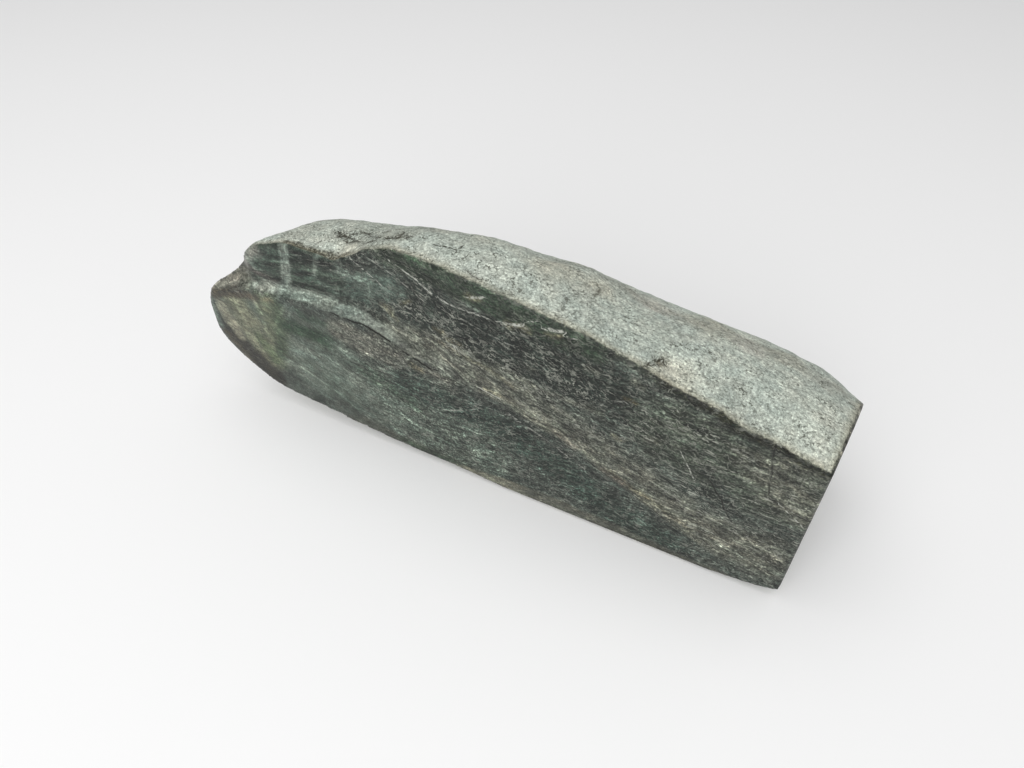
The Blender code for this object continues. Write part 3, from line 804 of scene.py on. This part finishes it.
class Graph:
    """A short way to write a material's nodes."""

    def __init__(self, name):
        self.material = bpy.data.materials.new(name)
        self.material.use_nodes = True
        self.tree = self.material.node_tree
        self.shader = self.tree.nodes["Principled BSDF"]

    def node(self, kind, **settings):
        node = self.tree.nodes.new(kind)
        for key, value in settings.items():
            setattr(node, key, value)
        return node

    def plug(self, socket, value):
        if isinstance(value, bpy.types.NodeSocket):
            self.tree.links.new(value, socket)
        elif value is not None:
            socket.default_value = value

    def math(self, operation, a, b=None, c=None, clamp=False):
        node = self.node("ShaderNodeMath", operation=operation, use_clamp=clamp)
        for socket, value in zip(node.inputs, (a, b, c)):
            self.plug(socket, value)
        return node.outputs[0]

    def step(self, value, low, high):
        """0 below low and 1 above high, smooth between. With low above high it falls instead."""
        node = self.node("ShaderNodeMapRange", interpolation_type="SMOOTHSTEP")
        for socket, entry in zip(node.inputs, (value, low, high, 0.0, 1.0)):
            self.plug(socket, entry)
        return node.outputs[0]

    def mix(self, share, a, b):
        node = self.node("ShaderNodeMix", data_type="RGBA")
        self.plug(node.inputs[0], share)
        self.plug(node.inputs[6], a)
        self.plug(node.inputs[7], b)
        return node.outputs[2]

    def blend(self, share, a, b):
        node = self.node("ShaderNodeMix", data_type="FLOAT")
        self.plug(node.inputs[0], share)
        self.plug(node.inputs[2], a)
        self.plug(node.inputs[3], b)
        return node.outputs[0]

    def scaled(self, vector, by):
        node = self.node("ShaderNodeVectorMath", operation="MULTIPLY")
        self.plug(node.inputs[0], vector)
        self.plug(node.inputs[1], by)
        return node.outputs[0]

    def sum(self, a, b):
        node = self.node("ShaderNodeVectorMath", operation="ADD")
        self.plug(node.inputs[0], a)
        self.plug(node.inputs[1], b)
        return node.outputs[0]

    def centred_vector(self, vector, scale):
        """A vector that wanders either side of 0."""
        node = self.node("ShaderNodeTexNoise")
        self.plug(node.inputs["Vector"], vector)
        self.plug(node.inputs["Scale"], scale)
        return self.sum(node.outputs["Color"], (-0.5, -0.5, -0.5))

    def bright(self, colour, factor):
        node = self.node("ShaderNodeVectorMath", operation="SCALE")
        self.plug(node.inputs[0], colour)
        self.plug(node.inputs["Scale"], factor)
        return node.outputs[0]

    def noise(self, vector, scale=1.0, detail=2.0, roughness=0.5):
        node = self.node("ShaderNodeTexNoise")
        self.plug(node.inputs["Vector"], vector)
        self.plug(node.inputs["Scale"], scale)
        self.plug(node.inputs["Detail"], detail)
        self.plug(node.inputs["Roughness"], roughness)
        return node.outputs["Fac"]

    def ridge(self, vector, width):
        """Thin wandering threads, 1 along their middles."""
        off = self.math("ABSOLUTE", self.math("SUBTRACT", self.noise(vector, detail=2), 0.5))
        return self.step(off, width, 0.0)

    def field(self, name):
        return self.node("ShaderNodeAttribute", attribute_name=name)

    def parts(self, vector):
        node = self.node("ShaderNodeSeparateXYZ")
        self.plug(node.inputs[0], vector)
        return node.outputs


def rgba(name, gain=1.0):
    return (*(linear(PALETTE[name]) * gain), 1.0)


def add(g, *terms):
    total = terms[0]
    for term in terms[1:]:
        total = g.math("ADD", total, term)
    return total


def centred(g, value, by):
    """The noise value less its middle, times by."""
    return g.math("MULTIPLY", g.math("SUBTRACT", value, 0.5), by)


def line_mask(g, field, jitter):
    """Where a vein or crack shows, from its (signed distance, half width, strength)."""
    distance, half, strength = g.parts(g.field(field).outputs["Vector"])[:3]
    off = g.math("ABSOLUTE", g.math("ADD", distance, jitter))
    edge = g.math("MULTIPLY", half, 0.35)
    outer = g.math("MULTIPLY", half, 1.35)
    return g.math("MULTIPLY", g.step(off, outer, edge), strength)


def sawn_jade(g, place, tint):
    """Sawn jade's (colour, roughness, height): curled flecks, straight fibres in the bands, and clearer places."""
    clear, tip, speckled, straw = (g.field(name).outputs["Fac"] for name in ("clear", "tip", "speckled", "straw"))
    grain = g.field("grain").outputs["Vector"]
    bend = g.centred_vector(place, 1 / 3.6)
    straight = g.sum(grain, g.scaled(bend, (0.0, 1.6, 1.6)))
    curly = g.sum(grain, g.scaled(bend, (6.0, 3.6, 5.0)))
    veil = g.noise(g.scaled(curly, (1 / 22, 1 / 5.5, 1 / 12)), detail=3, roughness=0.6)
    streak = g.noise(g.scaled(curly, (1 / 7.5, 1 / 2.2, 1 / 5)), detail=3, roughness=0.6)
    fine = g.noise(g.scaled(curly, (1 / 2.6, 1 / 0.95, 1 / 2)), detail=2, roughness=0.6)
    fibre = g.noise(g.scaled(straight, (1 / 8, 1 / 0.95, 1 / 3)), detail=2, roughness=0.6)
    fibre = g.blend(g.math("MULTIPLY", straw, 0.6), fine, fibre)
    dust = g.noise(place, scale=1 / 1.0, detail=1)
    cloud = g.noise(place, scale=1 / 8, detail=4, roughness=0.6)
    tone = add(g, centred(g, veil, 4.2), centred(g, streak, 5.8), centred(g, fibre, 7.4), centred(g, dust, 4.6))
    tone = add(g, tone, g.math("MULTIPLY", g.math("SUBTRACT", 1.0, straw), -0.20), -0.26)
    tone = add(g, tone, g.math("MULTIPLY", speckled, -0.25))
    tone = g.math("MULTIPLY", tone, g.blend(clear, 1.0, 0.42))
    soft = centred(g, g.noise(place, scale=1 / 2.5, detail=2), 1.6)
    wisp = g.math("MULTIPLY", line_mask(g, "wisp", soft), g.step(g.noise(place, scale=1 / 3, detail=2), 0.26, 0.50))
    wisp = g.math("MULTIPLY", wisp, 1.4)
    tone = add(g, tone, centred(g, cloud, 3.4), wisp)
    hue = g.step(g.noise(g.scaled(curly, (1 / 12, 1 / 5, 1 / 9)), detail=2), 0.36, 0.64)
    hued = g.scaled(tint, g.mix(hue, (0.965, 1.015, 0.98, 1), (1.025, 1.0, 0.96, 1)))
    colour = g.bright(hued, g.math("POWER", 2.0, tone))

    patch = g.step(g.noise(place, scale=1 / 7, detail=3), 0.42, 0.60)
    flake = g.noise(g.sum(g.scaled(curly, (1 / 3.6, 1 / 1.5, 1 / 2.4)), (3.1, 7.7, 1.9)), detail=2, roughness=0.6)
    strand = g.noise(g.sum(g.scaled(straight, (1 / 9, 1 / 0.8, 1 / 3)), (8.3, 2.7, 4.1)), detail=2, roughness=0.65)
    flake = g.step(g.blend(g.math("MULTIPLY", straw, 0.7), flake, strand), 0.56, 0.63)
    spread = g.math("MULTIPLY", speckled, g.blend(speckled, patch, 1.0))
    amount = add(g, g.blend(patch, 0.14, 0.40), g.math("MULTIPLY", spread, 0.42), g.math("MULTIPLY", straw, 0.44))
    pale = g.math("MULTIPLY", flake, amount)
    thread = g.ridge(g.scaled(curly, (1 / 5, 1 / 2.2, 1 / 3)), 0.035)
    thread = g.math("MULTIPLY", thread, g.blend(straw, 1.0, 0.3))
    pale = g.math("MAXIMUM", pale, g.math("MULTIPLY", thread, g.math("MULTIPLY", amount, 1.2)))
    colour = g.mix(g.math("MULTIPLY", pale, g.blend(clear, 1.0, 0.3)), colour, (0.29, 0.30, 0.255, 1))

    speck = g.noise(g.sum(g.scaled(curly, (1 / 2.6, 1 / 1.2, 1 / 2)), (21.7, 5.1, 9.3)), detail=2, roughness=0.6)
    hollow = g.step(g.noise(g.sum(place, (5.0, 3.0, 8.0)), scale=1 / 6, detail=3), 0.40, 0.62)
    seam = g.ridge(g.sum(g.scaled(curly, (1 / 7, 1 / 2.4, 1 / 3)), (31.7, 5.1, 9.3)), 0.04)
    clump = g.noise(g.sum(g.scaled(curly, (1 / 9, 1 / 4.5, 1 / 7)), (11.3, 2.1, 6.7)), detail=4, roughness=0.65)
    colour = g.bright(colour, g.math("POWER", 2.0, g.math("MULTIPLY", centred(g, clump, 3.0), g.blend(clear, 1.0, 0.3))))
    gap = g.noise(g.sum(g.scaled(straight, (1 / 6, 1 / 0.8, 1 / 3)), (14.3, 6.7, 2.1)), detail=2, roughness=0.65)
    speck = g.blend(g.math("MULTIPLY", straw, 0.7), speck, gap)
    dark = g.math("MAXIMUM", g.step(speck, 0.43, 0.36), g.math("MULTIPLY", seam, 0.7))
    dark = g.math("MULTIPLY", dark, g.math("ADD", g.math("MULTIPLY", hollow, 0.5), 0.50))
    colour = g.mix(g.math("MULTIPLY", dark, g.blend(clear, 1.0, 0.25)), colour, (0.014, 0.019, 0.014, 1))
    colour, crack = veined(g, place, grain, colour)

    rough = add(g, 0.46, centred(g, fibre, 0.3), g.math("MULTIPLY", tip, -0.12))
    height = g.math("SUBTRACT", g.math("MULTIPLY", fibre, 0.14), g.math("MULTIPLY", crack, 0.3))
    return colour, rough, height


def veined(g, place, grain, colour):
    """The sawn colour with its pale veins and dark cracks over it, and where the cracks are."""
    jitter = centred(g, g.noise(place, scale=1 / 3, detail=3), 1.1)
    broken = g.step(g.noise(g.scaled(grain, (1 / 2.2, 1 / 0.8, 1 / 2)), detail=2), 0.40, 0.58)
    gaps = g.math("MULTIPLY", broken, g.step(g.noise(place, scale=1 / 4.5, detail=2), 0.36, 0.52))
    blotch = g.step(g.parts(g.field("vein").outputs["Vector"])[1], 0.65, 0.75)
    blotch = g.math("MULTIPLY", blotch, g.step(g.noise(place, scale=1 / 1.3, detail=3), 0.42, 0.56))
    vein = g.math("MULTIPLY", line_mask(g, "vein", jitter), g.math("MAXIMUM", gaps, blotch))
    colour = g.mix(vein, colour, (0.42, 0.43, 0.38, 1))
    crack = line_mask(g, "crack", g.math("MULTIPLY", jitter, 0.6))
    crack = g.math("MULTIPLY", crack, g.step(g.noise(place, scale=1 / 5, detail=2), 0.30, 0.50))
    return g.mix(crack, colour, (0.010, 0.010, 0.008, 1)), crack


def worn_rind(g, place, tint):
    """The rind's (colour, roughness, height): packed pale grains, dark ones between, and crusts in its cracks."""
    crusted = g.field("crusted").outputs["Fac"]
    grains = g.node("ShaderNodeTexVoronoi", feature="F1")
    g.plug(grains.inputs["Vector"], place)
    g.plug(grains.inputs["Scale"], 1 / 1.1)
    random_grain = g.parts(grains.outputs["Color"])[0]
    bent = g.sum(place, g.scaled(g.centred_vector(place, 1 / 3.0), (3.0, 3.0, 3.0)))
    fine = g.noise(place, scale=1 / 0.85, detail=2, roughness=0.7)
    lump = g.noise(bent, scale=1 / 4.5, detail=3)
    mottle = g.noise(place, scale=1 / 26, detail=4)
    tone = add(g, centred(g, random_grain, 0.7), centred(g, fine, 3.2), centred(g, lump, 1.0), centred(g, mottle, 1.0))
    hue = g.step(g.noise(bent, scale=1 / 9, detail=3), 0.36, 0.64)
    hued = g.scaled(tint, g.mix(hue, (0.985, 1.005, 1.0, 1), (1.02, 1.0, 0.98, 1)))
    colour = g.bright(hued, g.math("POWER", 2.0, tone))
    pepper = g.step(g.noise(bent, scale=1 / 1.25, detail=2, roughness=0.7), 0.54, 0.61)
    clumps = g.math("ADD", g.step(g.noise(bent, scale=1 / 5.5, detail=3), 0.42, 0.62), 0.25)
    dark = (0.10, 0.105, 0.085, 1)
    colour = g.mix(g.math("MULTIPLY", g.math("MULTIPLY", pepper, clumps), 0.75), colour, dark)
    squiggle = g.math("MULTIPLY", g.ridge(g.scaled(bent, (1 / 3.6, 1 / 3.6, 1 / 3.6)), 0.03), g.step(lump, 0.56, 0.44))
    colour = g.mix(g.math("MULTIPLY", squiggle, 0.55), colour, dark)
    salt = g.noise(bent, scale=1 / 1.6, detail=1)
    colour = g.mix(g.math("MULTIPLY", g.step(salt, 0.60, 0.74), 0.25), colour, (0.60, 0.64, 0.585, 1))
    crackle = g.math("MAXIMUM", g.ridge(g.scaled(bent, (1 / 2.4, 1 / 2.4, 1 / 1.6)), 0.05), g.step(fine, 0.44, 0.34))
    crackle = g.math("MULTIPLY", crackle, crusted)
    ragged = centred(g, g.noise(place, scale=1 / 2, detail=3), 2.4)
    seam = g.math("MULTIPLY", line_mask(g, "seam", ragged), g.step(g.noise(place, scale=1 / 2.5, detail=2), 0.36, 0.50))
    crackle = g.math("MAXIMUM", crackle, seam)
    colour = g.mix(g.math("MULTIPLY", crackle, 0.9), colour, (0.035, 0.032, 0.020, 1))

    rough = g.math("ADD", 0.84, centred(g, fine, 0.2))
    height = add(
        g, g.math("MULTIPLY", fine, 0.42), g.math("MULTIPLY", lump, 0.5),
        g.math("MULTIPLY", grains.outputs["Distance"], -0.12), g.math("MULTIPLY", crackle, -0.3),
    )
    return colour, rough, height


def jade_material():
    g = Graph("jade")
    place = g.scaled(g.node("ShaderNodeTexCoord").outputs["Object"], (1000, 1000, 1000))
    tint = g.field("tint").outputs["Color"]
    sawn, sawn_rough, sawn_height = sawn_jade(g, place, tint)
    rind, rind_rough, rind_height = worn_rind(g, place, tint)
    edge_noise = centred(g, g.noise(place, scale=1 / 1.3, detail=2), 0.35)
    is_rind = g.step(g.math("ADD", g.field("rind").outputs["Fac"], edge_noise), 0.35, 0.65)
    g.plug(g.shader.inputs["Base Color"], g.mix(is_rind, sawn, rind))
    g.plug(g.shader.inputs["Roughness"], g.blend(is_rind, sawn_rough, rind_rough))
    g.shader.inputs["IOR"].default_value = 1.6
    g.shader.inputs["Specular IOR Level"].default_value = 0.22
    bump = g.node("ShaderNodeBump")
    g.plug(bump.inputs["Height"], g.blend(is_rind, sawn_height, rind_height))
    bump.inputs["Distance"].default_value = MM
    bump.inputs["Strength"].default_value = 1.0
    g.plug(g.shader.inputs["Normal"], bump.outputs[0])
    return g.material


def floor_material():
    g = Graph("studio_floor")
    place = g.node("ShaderNodeTexCoord").outputs["Object"]
    shade = g.noise(place, scale=1.5, detail=2)
    g.plug(g.shader.inputs["Base Color"], g.mix(shade, (0.86, 0.86, 0.86, 1), (0.89, 0.89, 0.89, 1)))
    g.shader.inputs["Roughness"].default_value = 0.7
    return g.material


# ---------------------------------------------------------------- stage

FLOOR_HALF = 4.0
CAMERA_PLACE = Vector((0.1172, -0.2450, 0.2985))
CAMERA_HEADING = Vector((-0.4470, 0.8945, 0))
CAMERA_PITCH = math.radians(45.1)
FRAME_WIDTH_PX = 1024
FOCAL_PX = 760
SENSOR = 36


def looking(place, forward):
    """A camera's or a light's matrix at this place, with level sides and its view along forward."""
    right = forward.cross(Vector((0, 0, 1))).normalized()
    up = right.cross(forward)
    turn = Matrix((right, up, -forward)).transposed()
    return Matrix.Translation(place) @ turn.to_4x4()


def make_camera():
    data = bpy.data.cameras.new("camera")
    data.sensor_width = SENSOR
    data.lens = SENSOR * FOCAL_PX / FRAME_WIDTH_PX
    data.clip_start = 0.01
    camera = bpy.data.objects.new("camera", data)
    bpy.context.scene.collection.objects.link(camera)
    level = CAMERA_HEADING.normalized() * math.cos(CAMERA_PITCH)
    camera.matrix_world = looking(CAMERA_PLACE, level - Vector((0, 0, math.sin(CAMERA_PITCH))))
    bpy.context.scene.camera = camera


def make_floor():
    bm = bmesh.new()
    bmesh.ops.create_grid(bm, x_segments=1, y_segments=1, size=FLOOR_HALF)
    mesh = bpy.data.meshes.new("floor")
    bm.to_mesh(mesh)
    bm.free()
    floor = bpy.data.objects.new("floor", mesh)
    bpy.context.scene.collection.objects.link(floor)
    mesh.materials.append(floor_material())


def make_light(name, place, target, size, power):
    data = bpy.data.lights.new(name, "AREA")
    data.shape = "DISK"
    data.size = size
    data.energy = power
    light = bpy.data.objects.new(name, data)
    bpy.context.scene.collection.objects.link(light)
    light.matrix_world = looking(Vector(place), (Vector(target) - Vector(place)).normalized())


def make_studio():
    make_floor()
    make_light("overhead", (0.0, -0.3, 1.5), (0, -0.1, 0), 2.2, 12.5)
    make_light("front", (0.0, -1.6, 1.05), (0, 0, 0), 1.8, 19)
    world = bpy.data.worlds.new("studio")
    bpy.context.scene.world = world
    world.use_nodes = True
    sky = world.node_tree.nodes["Background"]
    sky.inputs["Color"].default_value = (1.0, 1.0, 1.0, 1)
    sky.inputs["Strength"].default_value = 0.46
    bpy.context.scene.view_settings.view_transform = "Standard"


def make_stone():
    stone = Stone()
    stone.shape()
    stone.save_fields()
    piece = stone.piece
    piece.data.shade_smooth()
    piece.data.materials.append(jade_material())
    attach(piece, "root")
    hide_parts(NODE)


make_camera()
make_studio()
make_stone()
